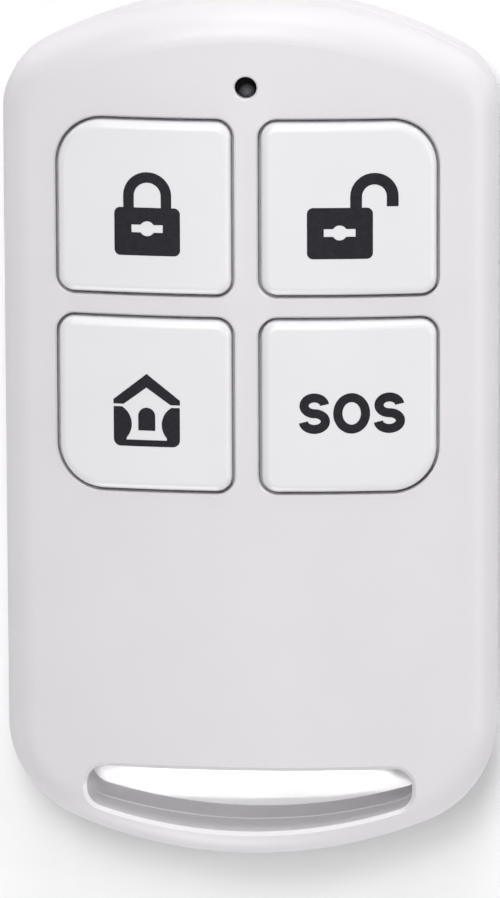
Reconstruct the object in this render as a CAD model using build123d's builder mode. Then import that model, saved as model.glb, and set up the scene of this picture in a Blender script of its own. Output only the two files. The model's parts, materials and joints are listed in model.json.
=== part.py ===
from build123d import *
import os
from math import sqrt

# An alarm key fob with four keys, a lamp hole and a strap slot. Lengths are millimetres.
# The fob lies on its back: +Z comes out of the face, +Y runs to the lamp end, and the
# origin is on the flat back, under the middle of the body.

# Key caps, the windows they stand in and the bars between the windows
key_width = 11.95
key_length = 12.0
key_gap = 0.22
key_proud = 0.35
key_travel = 0.3
key_small_corner = 1.1
key_large_corner = 3.1
key_edge_radius = 0.6
key_top_wall = 1.1
key_side_wall = 0.9
key_flange_width = 0.5
key_flange_thickness = 0.6
key_flange_gap = 0.1
key_rib_thickness = 0.7
key_rib_height = 0.5
plunger_radius = 1.2
middle_bar = 1.6
cross_bar = 1.35
window_bevel = 0.12

# Margins of the face round the windows and the slot
side_margin = 3.81
lamp_margin = 7.92
blank_length = 19.65
bridge_width = 2.05

# Outline, crown and rounded edges of the body
lamp_end_radius = 30.3
strap_end_radius = 34.6
lamp_corner_radius = 4.8
strap_corner_radius = 7.3
crown_radius = 62.0
face_edge_radius = 2.6
back_edge_radius = 2.8
least_inner_radius = 0.3

# Walls, and the lip that locates the rear shell in the front shell
side_wall = 1.3
face_wall = 1.2
back_wall = 1.1
slot_wall = 1.3
lip_height = 0.8
lip_gap = 0.06
lip_end_gap = 1.0
parting_bevel = 0.12
parting_above_board = 0.35

# Strap slot
slot_width = 22.5
slot_height = 4.35
slot_arc_radius = 36.0
slot_corner_radius = 1.25
slot_corner_share = 0.5
slot_draft = 0.5
slot_face_bevel = 0.3
slot_back_bevel = 0.5

# Lamp hole and the well behind it
lamp_hole_radius = 0.76
lamp_above_windows = 2.17
lamp_well_wall = 0.6
lamp_well_gap = 0.3

# Screws, and the bosses and posts inside the shells
screw_radius = 0.8
screw_head_radius = 1.4
screw_head_height = 0.8
screw_head_bevel = 0.25
screw_tip_chamfer = 0.5
screw_tip_gap = 0.3
screw_clearance = 0.15
pilot_clearance = 0.03
pilot_floor = 0.65
screw_recess_depth = 1.3
screw_recess_clearance = 0.15
boss_radius = 1.6
back_boss_radius = 2.05
boss_gap = 0.45
upper_screw_x = 7.0
recess_margin = 0.3
support_post_radius = 1.0

# Circuit board
board_thickness = 0.8
board_gap = 0.4
board_hole_clearance = 0.2
board_clearance = 0.6

# Coin cell, its cradle and its contacts
cell_radius = 10.0
cell_height = 3.2
cell_can_wall = 0.25
cell_cap_radius = 8.9
cell_cap_step = 0.25
cell_edge_bevel = 0.3
cell_gap = 0.3
cradle_wall = 0.8
cradle_offset = 0.4
cradle_height = 2.2
clip_thickness = 0.2
clip_width = 5.0
clip_clearance = 0.1
clip_leg_gap = 0.5
clip_foot_length = 1.5
clip_opening_gap = 0.6
contact_height = 0.25
contact_radius = 3.5
contact_hole_radius = 1.2

# Tact switches
switch_length = 4.1
switch_width = 3.2
switch_housing_height = 1.2
switch_height = 2.0
switch_floor = 0.3
switch_corner = 0.3
dome_radius = 1.15
dome_crest_radius = 0.6
dome_height = 0.38
dome_thickness = 0.05
dome_gap = 0.02
pit_gap = 0.1
nub_radius = 0.5
nub_height = 0.2
stem_radius = 0.8
stem_flange_radius = 1.05
stem_flange_thickness = 0.22
stem_gap = 0.1
cover_thickness = 0.15
cover_lip_height = 0.5
terminal_width = 1.2
terminal_length = 0.6
terminal_thickness = 0.15

# Encoder chip
chip_length = 4.9
chip_width = 3.9
chip_height = 1.4
chip_standoff = 0.1
chip_bevel = 0.25
chip_lead_pitch = 1.27
chip_leads_a_side = 4
lead_width = 0.4
lead_thickness = 0.15
lead_reach = 0.5
lead_foot_length = 0.5

# Transistor
transistor_length = 2.9
transistor_width = 1.3
transistor_height = 0.9
transistor_lead_pitch = 1.9

# Resonator
resonator_length = 5.0
resonator_width = 3.5
resonator_base_height = 0.9
resonator_lid_height = 0.4
resonator_lid_inset = 0.35
resonator_corner = 0.4

# Small chip parts, and the room between parts on the board
inductor_length = 2.5
inductor_width = 2.0
inductor_height = 1.4
inductor_corner = 0.4
capacitor_width = 0.8
capacitor_length = 1.6
capacitor_height = 0.8
resistor_width = 0.8
resistor_length = 1.6
resistor_height = 0.45
small_part_gap = 0.9
small_part_count = 4
parts_gap = 1.0

# Lamp on the board, with a lens that stands in the lamp hole
lamp_base_length = 2.0
lamp_base_width = 1.6
lamp_base_height = 0.6
lamp_base_corner = 0.2
lamp_lens_gap = 0.06
lamp_lens_depth = 0.35
lamp_lens_bevel = 0.2

# Printed antenna
antenna_width = 0.8
antenna_thickness = 0.07
antenna_gap = 0.6
antenna_corner_radius = 1.5
antenna_rise = 11.5

overrun = 1.0

# Places of the windows and the slot, from the lamp end downwards
window_width = key_width + 2 * key_gap
window_length = key_length + 2 * key_gap
body_width = 2 * side_margin + 2 * window_width + middle_bar
windows_length = 2 * window_length + cross_bar
body_length = lamp_margin + windows_length + blank_length + slot_height + bridge_width
half_width = body_width / 2
half_length = body_length / 2
window_top = half_length - lamp_margin
window_bottom = window_top - windows_length
key_x = (window_width + middle_bar) / 2
upper_row_y = window_top - window_length / 2
lower_row_y = window_bottom + window_length / 2
slot_bottom = bridge_width - half_length
slot_top = slot_bottom + slot_height
slot_sag = slot_arc_radius - sqrt(slot_arc_radius**2 - (slot_width / 2) ** 2)
slot_end_radius = min(slot_corner_radius, slot_corner_share * (slot_height - slot_sag))
slot_wall_end = slot_top + slot_wall
lamp_y = window_top + lamp_above_windows

# Heights, from the back upwards: wall, clip, cell, contact, board and switches
clip_bottom = back_wall + clip_clearance
cell_bottom = clip_bottom + clip_thickness
cell_top = cell_bottom + cell_height
board_bottom = cell_top + contact_height
board_top = board_bottom + board_thickness
parting_height = board_bottom + parting_above_board
pit_floor = board_top + switch_floor
housing_top = board_top + switch_housing_height
cover_top = housing_top + cover_thickness
plunger_bottom = board_top + switch_height
lamp_base_top = board_top + lamp_base_height
lamp_well_bottom = lamp_base_top + lamp_well_gap


def crown_drop(x):
    """How far the crowned face lies below its middle line."""
    return crown_radius - sqrt(crown_radius**2 - x**2)


# A key's flange is lowest at its outer side, and there it clears the board when pressed
flange_depth = face_wall + key_flange_gap + key_flange_thickness
flange_side_drop = crown_drop(key_x + window_width / 2 + key_flange_width)
body_thickness = board_top + board_clearance + key_travel + flange_depth + flange_side_drop
key_ceiling = key_proud - key_top_wall
key_root = key_proud - key_top_wall / 2
plunger_top = body_thickness - crown_drop(key_x) + key_root

# Screw places, and the top of the pilot holes, which the lower face at the outer screws sets
recess_radius = screw_head_radius + screw_recess_clearance
upper_screw_y = window_top + key_flange_width + boss_gap + boss_radius
lower_screw_y = slot_wall_end + boss_gap + boss_radius
lower_screw_x = half_width - back_edge_radius - recess_radius - recess_margin
pilot_top = body_thickness - crown_drop(lower_screw_x) - pilot_floor
screw_head_bottom = screw_recess_depth - screw_head_height
screw_tip = pilot_top - screw_tip_gap
screw_places = [
    (upper_screw_x, upper_screw_y),
    (-upper_screw_x, upper_screw_y),
    (lower_screw_x, lower_screw_y),
    (-lower_screw_x, lower_screw_y),
]

# The cell lies next to the slot's wall, and the board and the lip stop short of that wall
cradle_radius = cell_radius + cell_gap + cradle_wall
cell_y = slot_wall_end + cradle_offset + cradle_radius
board_end = slot_wall_end + board_gap
lip_end = slot_wall_end + lip_end_gap

# Two rows of parts on the board, between the lower keys and the outer screws
lead_span = lead_reach + lead_foot_length
chip_half_span = chip_width / 2 + lead_span
transistor_half_span = transistor_width / 2 + lead_span
first_row_y = window_bottom - key_flange_width - parts_gap - chip_half_span
second_row_y = first_row_y - chip_half_span - parts_gap - transistor_half_span
chip_place = (-(chip_length + parts_gap) / 2, first_row_y)
resonator_place = ((resonator_length + parts_gap) / 2, first_row_y)
capacitor_pitch = capacitor_width + small_part_gap
resistor_pitch = resistor_width + small_part_gap
capacitor_bank = capacitor_width + (small_part_count - 1) * capacitor_pitch
resistor_bank = resistor_width + (small_part_count - 1) * resistor_pitch
second_row_parts = transistor_length + inductor_length + capacitor_bank + resistor_bank
second_row_length = second_row_parts + 3 * parts_gap
transistor_place = ((transistor_length - second_row_length) / 2, second_row_y)
inductor_x = transistor_place[0] + (transistor_length + inductor_length) / 2 + parts_gap
inductor_place = (inductor_x, second_row_y)
capacitor_place = (inductor_x + (inductor_length + capacitor_bank) / 2 + parts_gap, second_row_y)
resistor_place = ((second_row_length - resistor_bank) / 2, second_row_y)

# The antenna runs inside the board's edge and above the outer screws
antenna_x = half_width - side_wall - board_gap - antenna_gap - antenna_width / 2
antenna_y = lower_screw_y + boss_radius + antenna_gap + antenna_width / 2

# Each key's side and row: -1 is left or lower, 1 is right or upper
keys = {"lock": (-1, 1), "unlock": (1, 1), "home": (-1, -1), "sos": (1, -1)}
key_rows = {1: upper_row_y, -1: lower_row_y}


def key_place(name):
    """The middle of a key, seen from above."""
    side, row = keys[name]
    return (side * key_x, key_rows[row])


def body_outline(inset):
    """The body seen from above, drawn in on every side: bowed ends and rounded corners."""
    side = half_width - inset
    end = half_length - inset
    lamp_side_y = half_length - lamp_end_radius + sqrt((lamp_end_radius - inset) ** 2 - side**2)
    strap_side_y = strap_end_radius - half_length - sqrt((strap_end_radius - inset) ** 2 - side**2)
    with BuildSketch(mode=Mode.PRIVATE) as outline:
        with BuildLine():
            Line((side, strap_side_y), (side, lamp_side_y))
            ThreePointArc((side, lamp_side_y), (0, end), (-side, lamp_side_y))
            Line((-side, lamp_side_y), (-side, strap_side_y))
            ThreePointArc((-side, strap_side_y), (0, -end), (side, strap_side_y))
        make_face()
        strap_corners = outline.vertices().sort_by(Axis.Y)[:2]
        fillet(strap_corners, strap_corner_radius - inset)
        lamp_corners = outline.vertices().sort_by(Axis.Y)[-2:]
        fillet(lamp_corners, lamp_corner_radius - inset)
    return outline.sketch


def slot_outline(growth):
    """The strap slot seen from above, grown on every side: straight above, bowed below."""
    with BuildSketch(mode=Mode.PRIVATE) as outline:
        with Locations((0, slot_top + growth)):
            Rectangle(
                slot_width + 2 * growth,
                2 * (slot_height + growth),
                align=(Align.CENTER, Align.MAX),
            )
        with Locations((0, slot_bottom + slot_arc_radius)):
            Circle(slot_arc_radius + growth, mode=Mode.INTERSECT)
        fillet(outline.vertices(), slot_end_radius + growth)
    return outline.sketch


def key_outline(name, growth):
    """A key seen from above, grown on every side: the corner towards the body's is large."""
    side, row = keys[name]
    outward = Axis((0, 0, 0), (side, row, 0))
    with BuildSketch(mode=Mode.PRIVATE) as outline:
        with Locations(key_place(name)):
            Rectangle(key_width + 2 * growth, key_length + 2 * growth)
        outer_corner = outline.vertices().sort_by(outward)[-1]
        fillet(outer_corner, key_large_corner + growth)
        small_corners = outline.vertices().sort_by(outward)[:3]
        fillet(small_corners, max(key_small_corner + growth, least_inner_radius))
    return outline.sketch


def crown_layer(top, bottom):
    """A layer that follows the crowned face, between two heights above that face."""
    with BuildPart(mode=Mode.PRIVATE) as layer:
        with BuildSketch(Plane.XZ):
            with Locations((0, body_thickness - crown_radius)):
                Circle(crown_radius + top)
                Circle(crown_radius + bottom, mode=Mode.SUBTRACT)
            with Locations((0, body_thickness)):
                Rectangle(body_width + 2 * overrun, 2 * crown_radius, mode=Mode.INTERSECT)
        extrude(amount=half_length + overrun, both=True)
    return layer.part


def body_block(side_inset, face_inset, back_inset):
    """The crowned body with sharp edges, drawn in at its sides, its face and its back."""
    with BuildPart(mode=Mode.PRIVATE) as block:
        with BuildSketch(Plane.XY.offset(back_inset)):
            add(body_outline(side_inset))
        extrude(amount=body_thickness)
        add(crown_layer(-face_inset, -body_thickness - overrun), mode=Mode.INTERSECT)
    return block.part


def inner_form(side_inset, face_inset, back_inset):
    """A form inside the walls, with bevels behind the body's rounded edges."""
    with BuildPart(mode=Mode.PRIVATE) as form:
        add(body_block(side_inset, face_inset, back_inset))
        chamfer(form.faces().sort_by(Axis.Z)[-1].edges(), face_edge_radius - side_inset)
        chamfer(form.faces().sort_by(Axis.Z)[0].edges(), back_edge_radius - side_inset)
    return form.part


def crowned_prism(outline, top, bottom):
    """An upright prism cut to a layer that follows the crowned face."""
    with BuildPart(mode=Mode.PRIVATE) as prism:
        with BuildSketch():
            add(outline)
        extrude(amount=body_thickness + overrun)
        add(crown_layer(top, bottom), mode=Mode.INTERSECT)
    return prism.part


def rods(places, radius, bottom, top):
    """Round rods between two heights."""
    with BuildPart(mode=Mode.PRIVATE) as group:
        with BuildSketch(Plane.XY.offset(bottom)):
            with Locations(places):
                Circle(radius)
        extrude(amount=top - bottom)
    return group.part


def posts(places, radius, bottom, top):
    """Round posts between two heights, rooted half way into the walls they meet."""
    with BuildPart(mode=Mode.PRIVATE) as columns:
        add(rods(places, radius, bottom, top))
        add(mid_wall_form, mode=Mode.INTERSECT)
    return columns.part


def lip_band(outer_inset, inner_inset):
    """A band along the inner half of the side wall, open at the slot's end."""
    with BuildSketch(mode=Mode.PRIVATE) as band:
        add(body_outline(outer_inset))
        add(body_outline(inner_inset), mode=Mode.SUBTRACT)
        with Locations((0, lip_end)):
            Rectangle(body_width, body_length, align=(Align.CENTER, Align.MAX), mode=Mode.SUBTRACT)
    return band.sketch


def bevel_parting_edges(face):
    """Bevels the outer rim and the slot's rim of a shell's parting face."""
    slot_rim = face.inner_wires().sort_by_distance((0, slot_bottom, parting_height))[0]
    chamfer(face.outer_wire().edges() + slot_rim.edges(), parting_bevel)


def bevel_face_rims(cut_edges):
    """Bevels the rims that a cut leaves on the crowned face, not those behind it."""
    chamfer(cut_edges.filter_by(Axis.Z, reverse=True).filter_by(is_on_face), window_bevel)


def is_on_face(edge):
    """Tells whether an edge lies on the crowned face, and not on the inside of its wall."""
    middle = edge.center()
    depth = body_thickness - crown_drop(middle.X) - middle.Z
    return depth < face_wall / 2


# Outer form of the closed body, with the drafted strap slot and its bevelled lips
with BuildPart() as outer_form:
    add(body_block(0, 0, 0))
    fillet(outer_form.faces().sort_by(Axis.Z)[-1].edges(), face_edge_radius)
    fillet(outer_form.faces().sort_by(Axis.Z)[0].edges(), back_edge_radius)
    with BuildSketch():
        add(slot_outline(slot_draft))
    with BuildSketch(Plane.XY.offset(body_thickness)):
        add(slot_outline(0))
    loft(ruled=True, mode=Mode.SUBTRACT)
    rims = outer_form.edges(Select.LAST)
    face_rim = rims.filter_by_position(Axis.Z, parting_height + overrun, body_thickness)
    back_rim = rims.filter_by_position(Axis.Z, 0, parting_height - overrun)
    chamfer(face_rim, slot_face_bevel)
    chamfer(back_rim, slot_back_bevel)

# Hollow of the closed body, kept clear of the slot's own wall
with BuildPart() as hollow:
    add(inner_form(side_wall, face_wall, back_wall))
    with BuildSketch():
        add(slot_outline(slot_wall))
    extrude(amount=body_thickness, mode=Mode.SUBTRACT)

# Middle of the walls, where posts and bosses are rooted
mid_wall_form = inner_form(side_wall / 2, face_wall / 2, back_wall / 2)

# Front shell: the crowned face with its windows and lamp hole, and bosses for the screws
with BuildPart() as front_shell:
    add(outer_form.part)
    add(hollow.part, mode=Mode.SUBTRACT)
    split(bisect_by=Plane.XY.offset(parting_height), keep=Keep.TOP)
    bevel_parting_edges(front_shell.faces().sort_by(Axis.Z)[0])
    with BuildSketch(Plane.XY.offset(parting_height)):
        add(lip_band(side_wall / 2, 2 * side_wall))
    extrude(amount=lip_height + lip_gap, mode=Mode.SUBTRACT)
    with BuildSketch(Plane.XY.offset(parting_height)):
        for key in keys:
            add(key_outline(key, key_gap))
    extrude(amount=body_thickness, mode=Mode.SUBTRACT)
    bevel_face_rims(front_shell.edges(Select.LAST))
    well_radius = lamp_hole_radius + lamp_well_wall
    add(posts([(0, lamp_y)], well_radius, lamp_well_bottom, body_thickness))
    lamp_hole = rods([(0, lamp_y)], lamp_hole_radius, parting_height, body_thickness)
    add(lamp_hole, mode=Mode.SUBTRACT)
    bevel_face_rims(front_shell.edges(Select.LAST))
    add(posts(screw_places, boss_radius, board_top, body_thickness))
    pilots = rods(screw_places, screw_radius + pilot_clearance, board_top, pilot_top)
    add(pilots, mode=Mode.SUBTRACT)

# Rear shell: the flat back with the screw recesses, board supports and the cell's cradle
with BuildPart() as rear_shell:
    add(outer_form.part)
    add(hollow.part, mode=Mode.SUBTRACT)
    split(bisect_by=Plane.XY.offset(parting_height), keep=Keep.BOTTOM)
    bevel_parting_edges(rear_shell.faces().sort_by(Axis.Z)[-1])
    with BuildSketch(Plane.XY.offset(parting_height)):
        add(lip_band(side_wall / 2 + lip_gap, side_wall))
    extrude(amount=lip_height)
    add(posts(screw_places, back_boss_radius, 0, board_bottom))
    support_places = [key_place("lock"), key_place("unlock")]
    add(posts(support_places, support_post_radius, 0, board_bottom))
    with BuildSketch(Plane.XY.offset(back_wall / 2)):
        with Locations((0, cell_y)):
            Circle(cradle_radius)
            Circle(cradle_radius - cradle_wall, mode=Mode.SUBTRACT)
            Rectangle(body_width, clip_width + 2 * clip_opening_gap, mode=Mode.SUBTRACT)
    extrude(amount=back_wall / 2 + cradle_height)
    add(rods(screw_places, recess_radius, 0, screw_recess_depth), mode=Mode.SUBTRACT)
    shank_holes = rods(screw_places, screw_radius + screw_clearance, 0, board_bottom)
    add(shank_holes, mode=Mode.SUBTRACT)

# Self-tapping case screws, driven from the back
with BuildPart() as case_screws:
    add(rods(screw_places, screw_head_radius, screw_head_bottom, screw_recess_depth))
    chamfer(case_screws.edges().group_by(Axis.Z)[0], screw_head_bevel)
    add(rods(screw_places, screw_radius, screw_recess_depth, screw_tip))
    chamfer(case_screws.edges().group_by(Axis.Z)[-1], screw_tip_chamfer)

# Circuit board
with BuildPart() as circuit_board:
    with BuildSketch(Plane.XY.offset(board_bottom)):
        add(body_outline(side_wall + board_gap))
        with Locations((0, board_end)):
            Rectangle(body_width, body_length, align=(Align.CENTER, Align.MAX), mode=Mode.SUBTRACT)
        with Locations(screw_places):
            Circle(screw_radius + board_hole_clearance, mode=Mode.SUBTRACT)
    extrude(amount=board_thickness)


def key_cap(name):
    """A hollow key cap with a crowned top, a flange behind the face and a plunger."""
    with BuildPart() as cap:
        add(crowned_prism(key_outline(name, 0), key_proud, -flange_depth))
        fillet(cap.faces().sort_by(Axis.Z)[-1].edges(), key_edge_radius)
        flange = key_outline(name, key_gap + key_flange_width)
        add(crowned_prism(flange, -face_wall - key_flange_gap, -flange_depth))
        inside = key_outline(name, -key_side_wall)
        add(crowned_prism(inside, key_ceiling, -body_thickness), mode=Mode.SUBTRACT)
        with BuildSketch(mode=Mode.PRIVATE) as ribs:
            with Locations(key_place(name)):
                Rectangle(key_width - key_side_wall, key_rib_thickness)
                Rectangle(key_rib_thickness, key_length - key_side_wall)
        add(crowned_prism(ribs.sketch, key_root, key_ceiling - key_rib_height))
        add(rods([key_place(name)], plunger_radius, plunger_bottom, plunger_top))
    return cap.part


def switch_housing(name):
    """The moulded base of a switch, with a round pit for the dome."""
    with BuildPart() as housing:
        with BuildSketch(Plane.XY.offset(board_top)):
            with Locations(key_place(name)):
                RectangleRounded(switch_length, switch_width, switch_corner)
        extrude(amount=switch_housing_height)
        pit = rods([key_place(name)], dome_radius + pit_gap, pit_floor, housing_top)
        add(pit, mode=Mode.SUBTRACT)
    return housing.part


def switch_dome(name):
    """A thin sprung dome with a flat crest, on the floor of the switch's pit."""
    x, y = key_place(name)
    inner_height = dome_height - dome_thickness
    profile = [
        (0, dome_height),
        (dome_crest_radius, dome_height),
        (dome_radius, 0),
        (dome_radius - dome_thickness, 0),
        (dome_crest_radius - dome_thickness, inner_height),
        (0, inner_height),
    ]
    with BuildPart() as dome:
        with BuildSketch(Plane((x, y, pit_floor), x_dir=(1, 0, 0), z_dir=(0, -1, 0))):
            Polygon(*profile, align=None)
        revolve(axis=Axis((x, y, 0), (0, 0, 1)))
    return dome.part


def switch_stem(name):
    """The stem of a switch: a nub over the dome, a flange under the cover and a shaft."""
    nub_bottom = pit_floor + dome_height + dome_gap
    flange_bottom = nub_bottom + nub_height
    shaft_bottom = flange_bottom + stem_flange_thickness
    sections = [
        (nub_radius, nub_bottom, flange_bottom),
        (stem_flange_radius, flange_bottom, shaft_bottom),
        (stem_radius, shaft_bottom, plunger_bottom),
    ]
    with BuildPart() as stem:
        for radius, bottom, top in sections:
            add(rods([key_place(name)], radius, bottom, top))
    return stem.part


def switch_cover(name):
    """The sheet cover that keeps the stem in, folded down over two sides of the switch."""
    lip_bottom = housing_top - cover_lip_height
    with BuildPart() as cover:
        with BuildSketch(Plane.XY.offset(lip_bottom)):
            with Locations(key_place(name)):
                Rectangle(switch_length, switch_width + 2 * cover_thickness)
        extrude(amount=cover_top - lip_bottom)
        with BuildSketch(Plane.XY.offset(lip_bottom)):
            with Locations(key_place(name)):
                Rectangle(switch_length, switch_width)
        extrude(amount=cover_lip_height, mode=Mode.SUBTRACT)
        stem_hole = rods([key_place(name)], stem_radius + stem_gap, housing_top, cover_top)
        add(stem_hole, mode=Mode.SUBTRACT)
    return cover.part


# Soldered ends of the switches, at the two narrow sides of each
with BuildPart() as switch_terminals:
    with BuildSketch(Plane.XY.offset(board_top)):
        with Locations(*[key_place(key) for key in keys]):
            with GridLocations(switch_length + terminal_length, switch_width, 2, 1):
                Rectangle(terminal_length, terminal_width)
    extrude(amount=terminal_thickness)


def gull_leads(place, body_half_width, shoulder, leads):
    """Bent leads from a part's sides down to the board: each has an offset and a side."""
    bend = body_half_width + lead_reach
    profile = [
        (body_half_width, shoulder),
        (bend, shoulder),
        (bend, lead_thickness),
        (bend + lead_foot_length, lead_thickness),
        (bend + lead_foot_length, 0),
        (bend - lead_thickness, 0),
        (bend - lead_thickness, shoulder - lead_thickness),
        (body_half_width, shoulder - lead_thickness),
    ]
    x, y = place
    with BuildPart() as group:
        for offset_along, side in leads:
            middle = (x + offset_along, y, board_top)
            with BuildSketch(Plane(middle, x_dir=(0, side, 0), z_dir=(side, 0, 0))):
                Polygon(*profile, align=None)
            extrude(amount=lead_width / 2, both=True)
    return group.part


def board_block(place, length, width, bottom, height, corner):
    """A block over the board with rounded upright edges."""
    with BuildPart() as block:
        with BuildSketch(Plane.XY.offset(bottom)):
            with Locations(place):
                RectangleRounded(length, width, corner)
        extrude(amount=height)
    return block.part


def board_bank(place, pitch, width, length, height):
    """A row of equal small parts on the board."""
    with BuildPart() as bank:
        with BuildSketch(Plane.XY.offset(board_top)):
            with Locations(place):
                with GridLocations(pitch, length, small_part_count, 1):
                    Rectangle(width, length)
        extrude(amount=height)
    return bank.part


# Encoder chip: a moulded block with one bevelled long edge
with BuildPart() as encoder_chip:
    with BuildSketch(Plane.XY.offset(board_top + chip_standoff)):
        with Locations(chip_place):
            Rectangle(chip_length, chip_width)
    extrude(amount=chip_height)
    top_edges = encoder_chip.edges().group_by(Axis.Z)[-1]
    chamfer(top_edges.sort_by(Axis.Y)[0], chip_bevel)

# Transistor body
with BuildPart() as transistor:
    with BuildSketch(Plane.XY.offset(board_top + chip_standoff)):
        with Locations(transistor_place):
            Rectangle(transistor_length, transistor_width)
    extrude(amount=transistor_height)

# Leads of the chip in two rows, and of the transistor: two on one side and one on the other
last_lead = (chip_leads_a_side - 1) * chip_lead_pitch / 2
chip_lead_places = [
    (number * chip_lead_pitch - last_lead, side)
    for number in range(chip_leads_a_side)
    for side in (-1, 1)
]
transistor_lead_places = [
    (-transistor_lead_pitch / 2, -1),
    (transistor_lead_pitch / 2, -1),
    (0, 1),
]
chip_shoulder = chip_standoff + (chip_height + lead_thickness) / 2
transistor_shoulder = chip_standoff + (transistor_height + lead_thickness) / 2

# Lamp on the board: a flat base with a round lens that reaches up into the lamp hole
lamp_base = board_block(
    (0, lamp_y), lamp_base_length, lamp_base_width, board_top, lamp_base_height, lamp_base_corner
)
lens_radius = lamp_hole_radius - lamp_lens_gap
lens_top = body_thickness - lamp_lens_depth
with BuildPart() as lamp_lens:
    add(rods([(0, lamp_y)], lens_radius, lamp_base_top, lens_top))
    chamfer(lamp_lens.edges().group_by(Axis.Z)[-1], lamp_lens_bevel)

# Resonator: a ceramic base with a metal lid
resonator_base = board_block(
    resonator_place,
    resonator_length,
    resonator_width,
    board_top,
    resonator_base_height,
    resonator_corner,
)
resonator_lid = board_block(
    resonator_place,
    resonator_length - 2 * resonator_lid_inset,
    resonator_width - 2 * resonator_lid_inset,
    board_top + resonator_base_height,
    resonator_lid_height,
    resonator_corner,
)

# Printed antenna: a loop round the lower half of the board
with BuildPart() as antenna_trace:
    with BuildSketch(Plane.XY.offset(board_top)):
        with BuildLine():
            FilletPolyline(
                (-antenna_x, antenna_y + antenna_rise),
                (-antenna_x, antenna_y),
                (antenna_x, antenna_y),
                (antenna_x, antenna_y + antenna_rise),
                radius=antenna_corner_radius,
            )
        trace(line_width=antenna_width)
    extrude(amount=antenna_thickness)

# Coin cell: an open can, and a sealing ring round the filled cap, which stands a step higher
can_top = cell_top - cell_cap_step
can_floor = cell_bottom + cell_can_wall
can_inner_radius = cell_radius - cell_can_wall
cell_place = (0, cell_y)
with BuildPart() as coin_cell_can:
    add(rods([cell_place], cell_radius, cell_bottom, can_top))
    rear_rim = coin_cell_can.edges().group_by(Axis.Z)[0]
    chamfer(rear_rim, cell_edge_bevel)
    add(rods([cell_place], can_inner_radius, can_floor, can_top), mode=Mode.SUBTRACT)
with BuildPart() as coin_cell_gasket:
    add(rods([cell_place], can_inner_radius, can_floor, can_top))
    add(rods([cell_place], cell_cap_radius, can_floor, can_top), mode=Mode.SUBTRACT)

# Strap under the cell, with a leg and a soldered foot on each side
with BuildPart() as battery_clip:
    leg_inside = cell_radius + clip_leg_gap
    leg_outside = leg_inside + clip_thickness
    foot_end = leg_outside + clip_foot_length
    with BuildSketch(Plane((0, cell_y, 0), x_dir=(1, 0, 0), z_dir=(0, -1, 0))):
        Polygon(
            (0, clip_bottom),
            (leg_outside, clip_bottom),
            (leg_outside, board_bottom - clip_thickness),
            (foot_end, board_bottom - clip_thickness),
            (foot_end, board_bottom),
            (leg_inside, board_bottom),
            (leg_inside, cell_bottom),
            (0, cell_bottom),
            align=None,
        )
        mirror(about=Plane.YZ)
    extrude(amount=clip_width / 2, both=True)

# Contact between the cell's cap and the board
with BuildPart() as battery_contact:
    add(rods([cell_place], contact_radius, cell_top, board_bottom))
    add(rods([cell_place], contact_hole_radius, cell_top, board_bottom), mode=Mode.SUBTRACT)

pieces = {
    "front_shell": front_shell.part,
    "rear_shell": rear_shell.part,
    "case_screws": case_screws.part,
    "circuit_board": circuit_board.part,
    "switch_terminals": switch_terminals.part,
    "encoder_chip": encoder_chip.part,
    "encoder_leads": gull_leads(chip_place, chip_width / 2, chip_shoulder, chip_lead_places),
    "transistor": transistor.part,
    "transistor_leads": gull_leads(
        transistor_place, transistor_width / 2, transistor_shoulder, transistor_lead_places
    ),
    "resonator_base": resonator_base,
    "resonator_lid": resonator_lid,
    "tuning_inductor": board_block(
        inductor_place, inductor_length, inductor_width, board_top, inductor_height, inductor_corner
    ),
    "capacitors": board_bank(
        capacitor_place, capacitor_pitch, capacitor_width, capacitor_length, capacitor_height
    ),
    "resistors": board_bank(
        resistor_place, resistor_pitch, resistor_width, resistor_length, resistor_height
    ),
    "antenna_trace": antenna_trace.part,
    "lamp_base": lamp_base,
    "lamp_lens": lamp_lens.part,
    "coin_cell_can": coin_cell_can.part,
    "coin_cell_gasket": coin_cell_gasket.part,
    "coin_cell_cap": rods([cell_place], cell_cap_radius, can_floor, cell_top),
    "battery_clip": battery_clip.part,
    "battery_contact": battery_contact.part,
}
for key in keys:
    pieces[f"key_{key}"] = key_cap(key)
    pieces[f"switch_housing_{key}"] = switch_housing(key)
    pieces[f"switch_dome_{key}"] = switch_dome(key)
    pieces[f"switch_stem_{key}"] = switch_stem(key)
    pieces[f"switch_cover_{key}"] = switch_cover(key)

os.makedirs("parts", exist_ok=True)
for name, piece in pieces.items():
    piece.label = name
    export_step(piece, f"parts/{name}.step")
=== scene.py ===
import json
from math import asin, cos, degrees, hypot, radians, sin, sqrt, tau

import bmesh
import bpy
from mathutils import Matrix, Vector


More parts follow.
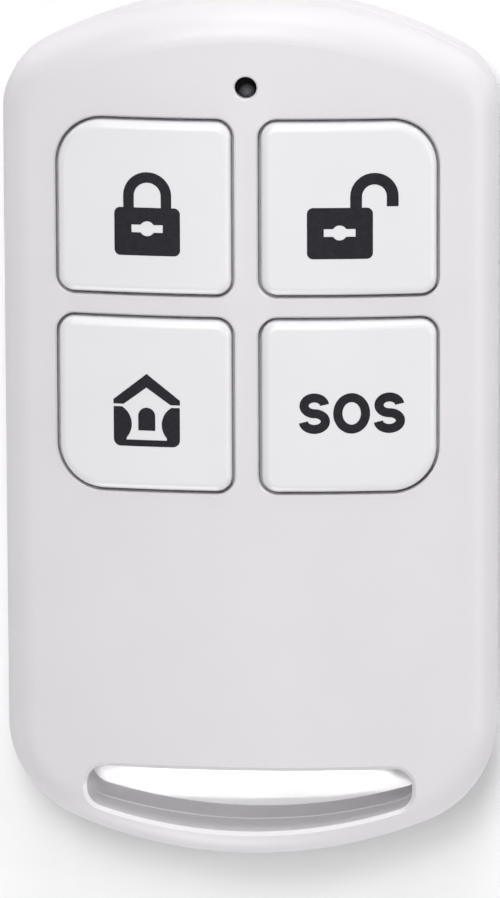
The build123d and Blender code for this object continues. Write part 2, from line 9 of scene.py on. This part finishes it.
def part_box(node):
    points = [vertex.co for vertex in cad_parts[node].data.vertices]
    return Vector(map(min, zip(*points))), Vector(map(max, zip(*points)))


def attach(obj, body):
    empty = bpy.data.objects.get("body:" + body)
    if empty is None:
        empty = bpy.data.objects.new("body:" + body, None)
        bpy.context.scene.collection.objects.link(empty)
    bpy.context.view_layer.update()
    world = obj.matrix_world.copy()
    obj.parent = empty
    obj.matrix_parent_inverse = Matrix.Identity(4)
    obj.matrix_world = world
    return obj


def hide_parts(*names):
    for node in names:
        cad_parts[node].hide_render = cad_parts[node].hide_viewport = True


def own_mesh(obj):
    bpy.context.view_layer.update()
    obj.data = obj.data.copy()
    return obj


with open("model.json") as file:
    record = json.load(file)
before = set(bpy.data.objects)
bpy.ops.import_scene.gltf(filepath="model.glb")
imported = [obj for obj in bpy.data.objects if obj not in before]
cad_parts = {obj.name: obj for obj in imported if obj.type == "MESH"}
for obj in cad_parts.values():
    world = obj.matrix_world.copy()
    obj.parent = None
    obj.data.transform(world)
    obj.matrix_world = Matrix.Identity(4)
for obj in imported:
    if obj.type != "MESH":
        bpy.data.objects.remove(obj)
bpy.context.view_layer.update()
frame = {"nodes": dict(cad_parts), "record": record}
nodes = frame["nodes"]

MM = 0.001
key_names = ("lock", "unlock", "home", "sos")

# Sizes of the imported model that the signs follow
face_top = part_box("front_shell")[1].z
crown_radius = 62 * MM
key_proud = 0.35 * MM


def key_center(key):
    """The middle of a key, seen from above."""
    low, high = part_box("switch_housing_" + key)
    return (low + high) / 2


def key_top(x):
    """Height of the keys' crowned tops at a place."""
    return face_top - crown_radius + sqrt((crown_radius + key_proud) ** 2 - x**2)


# Materials

# Most of a noise texture's values lie between these
noise_low = 0.3
noise_high = 0.7


def new_material(name):
    """An empty node material: its tree, its shader and object coordinates."""
    material = bpy.data.materials.new(name)
    material.use_nodes = True
    tree = material.node_tree
    shader = tree.nodes["Principled BSDF"]
    place = tree.nodes.new("ShaderNodeTexCoord").outputs["Object"]
    return material, tree, shader, place


def noise(tree, place, grain, detail=2.0, stretch=(1, 1, 1)):
    """Noise with grains of a real size, drawn out along an axis where that is asked."""
    mapping = tree.nodes.new("ShaderNodeMapping")
    mapping.inputs["Scale"].default_value = [1 / (grain * share) for share in stretch]
    tree.links.new(place, mapping.inputs["Vector"])
    texture = tree.nodes.new("ShaderNodeTexNoise")
    texture.inputs["Scale"].default_value = 1
    texture.inputs["Detail"].default_value = detail
    tree.links.new(mapping.outputs["Vector"], texture.inputs["Vector"])
    return texture.outputs["Fac"]


def color_from(tree, shader, factor, low_color, high_color, low=noise_low, high=noise_high):
    """A shader's colour that runs from one to another as the factor rises."""
    ramp = tree.nodes.new("ShaderNodeValToRGB")
    ramp.color_ramp.elements[0].position = low
    ramp.color_ramp.elements[0].color = (*low_color, 1)
    ramp.color_ramp.elements[1].position = high
    ramp.color_ramp.elements[1].color = (*high_color, 1)
    tree.links.new(factor, ramp.inputs["Fac"])
    tree.links.new(ramp.outputs["Color"], shader.inputs["Base Color"])


def roughness_from(tree, shader, factor, low_value, high_value):
    """A shader's roughness that runs from one value to another as the factor rises."""
    span = tree.nodes.new("ShaderNodeMapRange")
    span.inputs["From Min"].default_value = noise_low
    span.inputs["From Max"].default_value = noise_high
    span.inputs["To Min"].default_value = low_value
    span.inputs["To Max"].default_value = high_value
    tree.links.new(factor, span.inputs["Value"])
    tree.links.new(span.outputs["Result"], shader.inputs["Roughness"])


def relief_from(tree, shader, height, depth, strength):
    """Relief of a real depth on a shader's normal."""
    bump = tree.nodes.new("ShaderNodeBump")
    bump.inputs["Strength"].default_value = strength
    bump.inputs["Distance"].default_value = depth
    tree.links.new(height, bump.inputs["Height"])
    tree.links.new(bump.outputs["Normal"], shader.inputs["Normal"])


def shade(color, share):
    """A colour made darker or lighter by a share."""
    return tuple(min(1, channel * share) for channel in color)


def moulded_plastic(name, color, roughness, grain, depth, specular):
    """Moulded plastic: a faint mottle, a fine texture from the mould and uneven gloss."""
    mottle_grain = 7 * MM
    dark_share, light_share = 0.985, 1.01
    gloss_swing = 0.05
    material, tree, shader, place = new_material(name)
    mottle = noise(tree, place, mottle_grain)
    color_from(tree, shader, mottle, shade(color, dark_share), shade(color, light_share))
    texture = noise(tree, place, grain, detail=3)
    roughness_from(tree, shader, texture, roughness - gloss_swing, roughness + gloss_swing)
    shader.inputs["Specular IOR Level"].default_value = specular
    relief_from(tree, shader, texture, depth, strength=0.5)
    return material


def rolled_metal(name, color, roughness, stretch):
    """Plated sheet metal with fine rolling marks along one way."""
    mark_width, mark_depth = 0.06 * MM, 0.003 * MM
    stain_grain, stain_share = 1.5 * MM, 0.9
    gloss_swing = 0.15
    material, tree, shader, place = new_material(name)
    marks = noise(tree, place, mark_width, detail=4, stretch=stretch)
    stains = noise(tree, place, stain_grain)
    color_from(tree, shader, stains, shade(color, stain_share), color)
    roughness_from(tree, shader, marks, roughness, roughness + gloss_swing)
    shader.inputs["Metallic"].default_value = 1
    relief_from(tree, shader, marks, mark_depth, strength=0.4)
    return material


def fired_ceramic(name, color, roughness):
    """Fired ceramic with a speckled, slightly uneven surface."""
    speckle_grain, speckle_depth = 0.12 * MM, 0.006 * MM
    dark_share, light_share = 0.75, 1.15
    material, tree, shader, place = new_material(name)
    speckle = noise(tree, place, speckle_grain, detail=5)
    color_from(tree, shader, speckle, shade(color, dark_share), shade(color, light_share))
    shader.inputs["Roughness"].default_value = roughness
    relief_from(tree, shader, speckle, speckle_depth, strength=0.5)
    return material


def coated_board(name):
    """Circuit board: a green coat over glass weave, glossier between the threads."""
    thread_pitch, thread_depth = 1.2 * MM, 0.004 * MM
    cloud_grain = 3 * MM
    dark_green, light_green = (0.012, 0.11, 0.035), (0.02, 0.17, 0.055)
    material, tree, shader, place = new_material(name)
    weave = tree.nodes.new("ShaderNodeTexWave")
    weave.inputs["Scale"].default_value = 1 / thread_pitch
    weave.inputs["Distortion"].default_value = 1.5
    tree.links.new(place, weave.inputs["Vector"])
    cloud = noise(tree, place, cloud_grain)
    color_from(tree, shader, cloud, dark_green, light_green)
    roughness_from(tree, shader, weave.outputs["Fac"], low_value=0.28, high_value=0.4)
    relief_from(tree, shader, weave.outputs["Fac"], thread_depth, strength=0.3)
    return material


def printed_ink(name):
    """Dark screen-printed ink with a faintly uneven coat."""
    coat_grain, coat_depth = 0.25 * MM, 0.004 * MM
    dark, light = (0.014, 0.013, 0.018), (0.02, 0.019, 0.025)
    material, tree, shader, place = new_material(name)
    coat = noise(tree, place, coat_grain, detail=4)
    color_from(tree, shader, coat, dark, light)
    roughness_from(tree, shader, coat, low_value=0.42, high_value=0.52)
    shader.inputs["Specular IOR Level"].default_value = 0.22
    relief_from(tree, shader, coat, coat_depth, strength=0.4)
    return material


def smoked_resin(name):
    """Dark clear resin of the lamp's lens, with a painted reflection: a pale spot painted into its
    colour a little off the middle.
    """
    # Place, size and colour of the painted reflection on the lens, not a part that shows through the
    # resin
    painted_reflection_offset = Vector((0.1 * MM, -0.33 * MM, 0))
    painted_reflection_radius, painted_reflection_core = 0.62 * MM, 0.05 * MM
    cloud_grain = 0.8 * MM
    resin_color, painted_reflection_color = (0.001, 0.001, 0.001), (0.11, 0.11, 0.115)
    material, tree, shader, place = new_material(name)
    lens_low, lens_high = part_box("lamp_lens")
    lens_middle = Vector((0, (lens_low.y + lens_high.y) / 2, lens_high.z))
    reach = tree.nodes.new("ShaderNodeVectorMath")
    reach.operation = "DISTANCE"
    reach.inputs[1].default_value = lens_middle + painted_reflection_offset
    tree.links.new(place, reach.inputs[0])
    fade = tree.nodes.new("ShaderNodeMapRange")
    fade.inputs["From Min"].default_value = painted_reflection_radius
    fade.inputs["From Max"].default_value = painted_reflection_core
    tree.links.new(reach.outputs["Value"], fade.inputs["Value"])
    # The colour runs from the dark resin out to the painted reflection's pale spot
    color_from(tree, shader, fade.outputs["Result"], resin_color, painted_reflection_color, low=0, high=1)
    cloud = noise(tree, place, cloud_grain)
    roughness_from(tree, shader, cloud, low_value=0.2, high_value=0.3)
    shader.inputs["Specular IOR Level"].default_value = 0.2
    return material


# Colour, roughness, grain and depth of the texture, and specular level
plastics = {
    "shell_plastic": ((0.71, 0.69, 0.71), 0.42, 0.17 * MM, 0.011 * MM, 0.5),
    "key_plastic": ((0.765, 0.76, 0.785), 0.33, 0.2 * MM, 0.002 * MM, 0.5),
    "switch_moulding": ((0.02, 0.02, 0.022), 0.5, 0.1 * MM, 0.006 * MM, 0.4),
    "stem_plastic": ((0.45, 0.4, 0.3), 0.45, 0.1 * MM, 0.004 * MM, 0.4),
    "chip_moulding": ((0.018, 0.018, 0.019), 0.6, 0.08 * MM, 0.008 * MM, 0.3),
    "gasket_plastic": ((0.6, 0.6, 0.55), 0.5, 0.1 * MM, 0.004 * MM, 0.4),
    "lamp_housing": ((0.12, 0.12, 0.12), 0.5, 0.1 * MM, 0.004 * MM, 0.4),
}
# Colour, roughness, and how far the rolling marks are drawn out along each axis
metals = {
    "screw_steel": ((0.42, 0.42, 0.44), 0.3, (1, 1, 4)),
    "tinned_leads": ((0.62, 0.62, 0.64), 0.3, (1, 4, 1)),
    "sheet_metal": ((0.6, 0.6, 0.62), 0.25, (12, 1, 1)),
    "cell_steel": ((0.62, 0.62, 0.63), 0.22, (14, 1, 1)),
    "cell_filling": ((0.62, 0.62, 0.63), 0.25, (14, 1, 1)),
    "contact_metal": ((0.66, 0.63, 0.55), 0.28, (1, 12, 1)),
    "printed_copper": ((0.45, 0.3, 0.12), 0.4, (1, 1, 1)),
}
# Colour and roughness
ceramics = {
    "resonator_ceramic": ((0.28, 0.22, 0.16), 0.5),
    "ferrite": ((0.035, 0.033, 0.035), 0.55),
    "capacitor_ceramic": ((0.38, 0.26, 0.14), 0.4),
    "resistor_ceramic": ((0.02, 0.02, 0.022), 0.3),
}
finishes = {name: moulded_plastic(name, *finish) for name, finish in plastics.items()}
finishes |= {name: rolled_metal(name, *finish) for name, finish in metals.items()}
finishes |= {name: fired_ceramic(name, *finish) for name, finish in ceramics.items()}
finishes["board_laminate"] = coated_board("board_laminate")
finishes["lamp_resin"] = smoked_resin("lamp_resin")
for part in frame["record"]["subparts"]:
    for material_slot in nodes[part["node"]].material_slots:
        material_slot.material = finishes[part["material_slot"]]
ink = printed_ink("key_ink")


# Outlines of the signs: closed rings of points in millimetres round the key's middle

corner_steps = 8


def arc(center, radii, start, end, steps=24):
    """Points along an elliptical arc, from one angle in degrees to another."""
    angles = [radians(start + (end - start) * step / steps) for step in range(steps + 1)]
    return [(center[0] + radii[0] * cos(a), center[1] + radii[1] * sin(a)) for a in angles]


def ellipse(center, radii, points=45):
    """A whole ellipse as a ring of points."""
    return arc(center, radii, 0, 360 - 360 / points, points - 1)


def arch(center, radii, right_foot, left_foot, steps=24):
    """Half an ellipse on two straight legs, each down to its own height."""
    right, left = center[0] + radii[0], center[0] - radii[0]
    return [(right, right_foot)] + arc(center, radii, 0, 180, steps) + [(left, left_foot)]


def stroke(path, width):
    """Outline of a line of even width along a path."""
    left = []
    right = []
    for index, point in enumerate(path):
        before = path[max(index - 1, 0)]
        after = path[min(index + 1, len(path) - 1)]
        run = (after[0] - before[0], after[1] - before[1])
        length = hypot(*run)
        side = (-run[1] / length * width / 2, run[0] / length * width / 2)
        left.append((point[0] + side[0], point[1] + side[1]))
        right.append((point[0] - side[0], point[1] - side[1]))
    return left + right[::-1]


def keyhole(center):
    """A round keyhole with a short bar through it."""
    x, y = center
    radius, bar_reach, bar_half, steps = 0.52, 1.08, 0.27, 12
    bend = degrees(asin(bar_half / radius))
    right_end = [(x + bar_reach, y - bar_half), (x + bar_reach, y + bar_half)]
    left_end = [(x - bar_reach, y + bar_half), (x - bar_reach, y - bar_half)]
    upper_bulge = arc(center, (radius, radius), bend, 180 - bend, steps)
    lower_bulge = arc(center, (radius, radius), 180 + bend, 360 - bend, steps)
    return right_end + upper_bulge + left_end + lower_bulge


def padlock(left, right, bottom, top, bow):
    """Outline of a padlock with rounded corners: its bow's points join the upper edge."""
    radius = 0.42
    radii = (radius, radius)
    return (
        arc((right - radius, top - radius), radii, 0, 90, corner_steps)
        + bow
        + arc((left + radius, top - radius), radii, 90, 180, corner_steps)
        + arc((left + radius, bottom + radius), radii, 180, 270, corner_steps)
        + arc((right - radius, bottom + radius), radii, 270, 360, corner_steps)
    )


def closed_padlock():
    """The bow stands on both legs, with an arched opening above the body."""
    top, spring = 0.04, 0.87
    bow = arch((0.235, spring), (1.66, 1.64), top, top)
    opening = arch((0.24, spring), (0.93, 0.91), top, top)
    body = padlock(left=-2.05, right=2.49, bottom=-3.3, top=top, bow=bow)
    return [body, opening, keyhole((0.22, -1.42))]


def open_padlock():
    """The bow stands on its left leg only."""
    top, free_end = 0.16, 0.22
    bow_center = (1.78, 0.92)
    outside = arch(bow_center, (1.64, 1.64), free_end, top)
    inside = arch(bow_center, (0.84, 0.84), free_end, top)
    body = padlock(left=-2.81, right=1.68, bottom=-3.4, top=top, bow=inside[::-1] + outside)
    return [body, keyhole((-0.58, -1.58))]


def house():
    """A roof, two wall halves that bow inwards on a ground strip, and an arched door."""
    middle = 0.11
    roof_left, roof_right, eaves = -2.2, 2.42, 0.07
    roof = [
        (0.12, 2.22),
        (roof_right, 0.4),
        (roof_right, eaves),
        (1.77, eaves),
        (0.1, 1.26),
        (-1.49, eaves),
        (roof_left, eaves),
        (roof_left, 0.38),
    ]
    wall_left, wall_right, wall_top, strip_top, corner_y = -2.19, 2.41, -0.115, -2.43, -2.38
    ledge_reach = 1.71
    bow_reach, bow_y, bow_steps = 2.47, -1.33, 14
    bow_radii = (1.43, 1.43)
    corner = 0.5
    corner_radii = (corner, corner)
    walls = (
        [(wall_left, wall_top), (middle - ledge_reach, wall_top)]
        + arc((middle - bow_reach, bow_y), bow_radii, 58, -41, bow_steps)
        + [(-1.32, strip_top), (1.5, strip_top)]
        + arc((middle + bow_reach, bow_y), bow_radii, 221, 122, bow_steps)
        + [(middle + ledge_reach, wall_top), (wall_right, wall_top)]
        + arc((wall_right - corner, corner_y), corner_radii, 0, -90, corner_steps)
        + arc((wall_left + corner, corner_y), corner_radii, 270, 180, corner_steps)
    )
    sill, door_spring, door_radius = -1.76, -0.74, 0.59
    door = arch((middle, door_spring), (door_radius, door_radius), sill, sill, steps=16)
    return [roof, walls, door]


letter_weight = 0.63
letter_bottom = -1.82
letter_height = 2.84
first_middle, second_middle, third_middle = -2.33, 0.22, 2.79


def letter_s(middle):
    """A plain letter made of two open bowls, the upper one narrower."""
    width, upper_share, terminal, steps = 2.14, 0.93, 6, 30
    radii = ((width - letter_weight) / 2, (letter_height - letter_weight) / 4)
    low_center = (middle, letter_bottom + letter_weight / 2 + radii[1])
    high_center = (middle, letter_bottom + letter_weight / 2 + 3 * radii[1])
    high_bowl = arc(high_center, (radii[0] * upper_share, radii[1]), terminal, 270, steps)
    low_bowl = arc(low_center, radii, 90, terminal - 180, steps)
    return [stroke(high_bowl + low_bowl[1:], letter_weight)]


def letter_o(middle):
    """A plain oval letter: its outside and its inside."""
    width = 2.52
    center = (middle, letter_bottom + letter_height / 2)
    outside = ellipse(center, (width / 2, letter_height / 2))
    inside = ellipse(center, (width / 2 - letter_weight, letter_height / 2 - letter_weight))
    return [outside, inside]


def letters():
    """The plain word on the fourth key."""
    return letter_s(first_middle) + letter_o(second_middle) + letter_s(third_middle)


# Objects, meshes and the printed signs


def new_object(name, data):
    """An object in the scene, at the origin."""
    piece = bpy.data.objects.new(name, data)
    bpy.context.scene.collection.objects.link(piece)
    return piece


def evaluated_mesh(piece):
    """The mesh that an object has once its curves are filled and its modifiers applied."""
    evaluated = piece.evaluated_get(bpy.context.evaluated_depsgraph_get())
    return bpy.data.meshes.new_from_object(evaluated)


def mesh_of(name, form):
    """A mesh made from a form, which isn't needed any more."""
    mesh = bpy.data.meshes.new(name)
    form.to_mesh(mesh)
    form.free()
    return mesh


def weld(form):
    """Joins points that lie on each other and takes out the slivers between them."""
    weld_gap = 0.001 * MM
    bmesh.ops.remove_doubles(form, verts=form.verts, dist=weld_gap)
    bmesh.ops.dissolve_degenerate(form, edges=form.edges, dist=weld_gap)


def flat_mesh(name, outlines):
    """A flat filled mesh: an outline inside another one is a hole."""
    curve = bpy.data.curves.new(name, "CURVE")
    curve.dimensions = "2D"
    curve.fill_mode = "BOTH"
    for outline in outlines:
        spline = curve.splines.new("POLY")
        spline.points.add(len(outline) - 1)
        for point, (x, y) in zip(spline.points, outline):
            point.co = (x * MM, y * MM, 0, 1)
        spline.use_cyclic_u = True
    holder = new_object(name + "_curve", curve)
    mesh = evaluated_mesh(holder)
    bpy.data.objects.remove(holder)
    return mesh


def printed_sign(key, outlines):
    """A thin print on a crowned key top: cut into slices that follow the crown."""
    ink_height, ink_root = 0.012 * MM, 0.02 * MM
    half_reach, slice_width, cut_margin = 5 * MM, 0.4 * MM, 0.002 * MM
    name = "sign_" + key
    center = key_center(key)
    form = bmesh.new()
    form.from_mesh(flat_mesh(name + "_flat", outlines))
    weld(form)
    for cut in range(int(2 * half_reach / slice_width)):
        everything = form.verts[:] + form.edges[:] + form.faces[:]
        place = (-half_reach + cut * slice_width, 0, 0)
        bmesh.ops.bisect_plane(
            form, geom=everything, dist=cut_margin, plane_co=place, plane_no=(1, 0, 0)
        )
    weld(form)
    extruded = bmesh.ops.extrude_face_region(form, geom=form.faces[:])["geom"]
    lower_verts = {item for item in extruded if isinstance(item, bmesh.types.BMVert)}
    for vert in form.verts:
        x = center.x + vert.co.x
        drop = ink_root if vert in lower_verts else -ink_height
        vert.co = (x, center.y + vert.co.y, key_top(x) - drop)
    bmesh.ops.recalc_face_normals(form, faces=form.faces)
    mesh = mesh_of(name, form)
    mesh.materials.append(ink)
    sign = new_object(name, mesh)
    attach(sign, key + "_key")


signs = {
    "lock": closed_padlock(),
    "unlock": open_padlock(),
    "home": house(),
    "sos": letters(),
}
for key in key_names:
    printed_sign(key, signs[key])


# Domes under the keys


def turned_form(profile):
    """A closed form turned round the upright axis from a profile of radii and heights."""
    form = bmesh.new()
    verts = [form.verts.new((radius, 0, height)) for radius, height in profile]
    for start, end in zip(verts, verts[1:]):
        form.edges.new((start, end))
    everything = form.verts[:] + form.edges[:]
    bmesh.ops.spin(form, geom=everything, axis=(0, 0, 1), angle=tau, steps=64, use_merge=True)
    weld(form)
    bmesh.ops.dissolve_limit(form, angle_limit=radians(1), verts=form.verts, edges=form.edges)
    bmesh.ops.recalc_face_normals(form, faces=form.faces)
    return form


def case_piece(name, form, node, finish):
    """A piece of the case, made from a form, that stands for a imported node."""
    mesh = mesh_of(name, form)
    mesh.materials.append(finishes[finish])
    piece = new_object(name, mesh)
    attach(piece, "case")
    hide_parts(node)
    return piece


def sprung_dome(key):
    """The dome of a switch, turned as a thin shell where its node stood."""
    crest_radius, thickness, pressed_share = 0.6 * MM, 0.05 * MM, 0.24
    node = "switch_dome_" + key
    low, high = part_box(node)
    foot = Vector(((low.x + high.x) / 2, (low.y + high.y) / 2, low.z))
    radius = (high.x - low.x) / 2
    height = high.z - low.z
    profile = [
        (0, height),
        (crest_radius, height),
        (radius, 0),
        (radius - thickness, 0),
        (crest_radius - thickness, height - thickness),
        (0, height - thickness),
    ]
    form = turned_form(profile)
    bmesh.ops.translate(form, vec=foot, verts=form.verts)
    dome = case_piece("sprung_dome_" + key, form, node, finish="sheet_metal")
    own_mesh(dome)


for key in key_names:
    sprung_dome(key)


# Case screws with a cross in the head

screw_low, screw_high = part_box("case_screws")
head_radius = 1.4 * MM
head_height = 0.8 * MM
head_bevel = 0.25 * MM
shank_radius = 0.8 * MM
shank_chamfer = 0.5 * MM
upper_screw_x = 7.0 * MM
screw_places = [
    (upper_screw_x, screw_high.y - head_radius),
    (-upper_screw_x, screw_high.y - head_radius),
    (screw_high.x - head_radius, screw_low.y + head_radius),
    (screw_low.x + head_radius, screw_low.y + head_radius),
]


def cross_cutter(name):
    """A cross that narrows upwards, to cut the recess in a screw's head."""
    reach, half_width, depth, top_share = 0.8 * MM, 0.16 * MM, 0.5 * MM, 0.7
    arm = [(reach, -half_width), (reach, half_width), (half_width, half_width)]
    next_arm = [(half_width, reach), (-half_width, reach), (-half_width, half_width)]
    half_cross = arm + next_arm
    cross = half_cross + [(-x, -y) for x, y in half_cross]
    form = bmesh.new()
    base = form.faces.new([form.verts.new((x, y, -depth)) for x, y in cross])
    extruded = bmesh.ops.extrude_face_region(form, geom=[base])["geom"]
    for item in extruded:
        if isinstance(item, bmesh.types.BMVert):
            item.co = (item.co.x * top_share, item.co.y * top_share, depth)
    bmesh.ops.recalc_face_normals(form, faces=form.faces)
    return new_object(name, mesh_of(name, form))


def screw_mesh(name):
    """One case screw with its head down: turned, then cut with a cross."""
    length = screw_high.z - screw_low.z
    profile = [
        (0, 0),
        (head_radius - head_bevel, 0),
        (head_radius, head_bevel),
        (head_radius, head_height),
        (shank_radius, head_height),
        (shank_radius, length - shank_chamfer),
        (shank_radius - shank_chamfer, length),
        (0, length),
    ]
    blank = new_object(name + "_blank", mesh_of(name + "_blank", turned_form(profile)))
    cutter = cross_cutter(name + "_cutter")
    cut = blank.modifiers.new("cross", "BOOLEAN")
    cut.operation = "DIFFERENCE"
    cut.solver = "EXACT"
    cut.object = cutter
    mesh = evaluated_mesh(blank)
    bpy.data.objects.remove(blank)
    bpy.data.objects.remove(cutter)
    return mesh


screw = screw_mesh("cross_screw")
screws = bmesh.new()
for x, y in screw_places:
    known = len(screws.verts)
    screws.from_mesh(screw)
    bmesh.ops.translate(screws, vec=(x, y, screw_low.z), verts=screws.verts[known:])
weld(screws)
case_piece("cross_screws", screws, node="case_screws", finish="screw_steel")


# Floor and light


def paper(name):
    """Plain white paper with a faint fibre, lit a little from behind."""
    fibre_grain = 4 * MM
    dark, light = (0.86, 0.86, 0.865), (0.88, 0.88, 0.885)
    material, tree, shader, place = new_material(name)
    fibre = noise(tree, place, fibre_grain, detail=4)
    color_from(tree, shader, fibre, dark, light)
    shader.inputs["Roughness"].default_value = 0.9
    shader.inputs["Emission Color"].default_value = (1, 1, 1, 1)
    shader.inputs["Emission Strength"].default_value = 0.04
    return material


def paper_floor(name):
    """A flat sheet of paper just under the part."""
    half_size, height = 2, -0.01 * MM
    corners = [(-1, -1), (1, -1), (1, 1), (-1, 1)]
    places = [(x * half_size, y * half_size, height) for x, y in corners]
    mesh = bpy.data.meshes.new(name)
    mesh.from_pydata(places, [], [(0, 1, 2, 3)])
    mesh.materials.append(paper(name))
    new_object(name, mesh)


def area_light(name, shape, width, height, power):
    """An area light of a real size, with its power in watts."""
    light = bpy.data.lights.new(name, "AREA")
    light.shape = shape
    light.size = width
    light.size_y = height
    light.energy = power
    return new_object(name, light)


paper_floor("floor")

# Place, side and power of each square softbox, which is aimed at the part's middle
softboxes = {
    "top_light": ((-0.08, 0.385, 0.575), 0.3, 1.5),
    "end_light": ((0, 0.651, 0.252), 0.3, 1.85),
    "side_light": ((0.644, 0, 0.28), 0.35, 1.9),
    "front_light": ((-0.06, 0.231, 0.65), 0.3, 2.2),
    "low_light": ((-0.14, -0.66, 0.196), 0.35, 2.7),
}
for name, (place, side, power) in softboxes.items():
    lamp = area_light(name, "SQUARE", side, side, power)
    lamp.location = place
    lamp.rotation_euler = Vector(place).to_track_quat("Z", "Y").to_euler()

world = bpy.data.worlds.new("studio")
world.use_nodes = True
background = world.node_tree.nodes["Background"]
background.inputs["Color"].default_value = (0.98, 0.98, 1, 1)
background.inputs["Strength"].default_value = 0.02
bpy.context.scene.world = world


# Camera: long lens, a little above the face's middle line and to its right

turn, rise, roll = radians(4.0), radians(12.45), radians(-0.22)
distance = 0.6
sensor_height = 36
frame_pixels = 898
focal_pixels = 8735
aim_shift_pixels = 3.2
aim = Vector((0, -0.80 * MM, face_top))
backward = Vector((sin(turn) * cos(rise), sin(rise), cos(turn) * cos(rise)))
level_right = Vector((0, 1, 0)).cross(backward).normalized()
level_up = backward.cross(level_right)
right = cos(roll) * level_right + sin(roll) * level_up
up = cos(roll) * level_up - sin(roll) * level_right
view_axes = Matrix((right, up, backward)).transposed().to_4x4()
aim_shift = aim_shift_pixels / focal_pixels * distance

camera_data = bpy.data.cameras.new("camera")
camera_data.sensor_fit = "VERTICAL"
camera_data.sensor_height = sensor_height
camera_data.lens = focal_pixels / frame_pixels * sensor_height
camera_data.clip_start = 0.01
camera = new_object("camera", camera_data)
camera.matrix_world = Matrix.Translation(aim + backward * distance + right * aim_shift) @ view_axes
bpy.context.scene.camera = camera
bpy.context.scene.view_settings.view_transform = "Standard"


# Narrow beams along the view keep the ground white behind the strap slot


def slot_beam(name, shape, middle_y, width, height, power):
    """A beam that passes through the slot and lights only the ground behind it."""
    middle_x, lift = -0.7 * MM, 25 * MM
    beam = area_light(name, shape, width, height, power)
    beam.data.spread = radians(1)
    beam.matrix_world = Matrix.Translation(Vector((middle_x, middle_y, 0)) + backward * lift) @ view_axes
    beam.visible_camera = False


slot_beam("slot_beam", "ELLIPSE", -27.0 * MM, 22.8 * MM, 2.3 * MM, 0.000075)
slot_beam("slot_corner_beam", "RECTANGLE", -26.45 * MM, 20.6 * MM, 1.1 * MM, 0.00004)
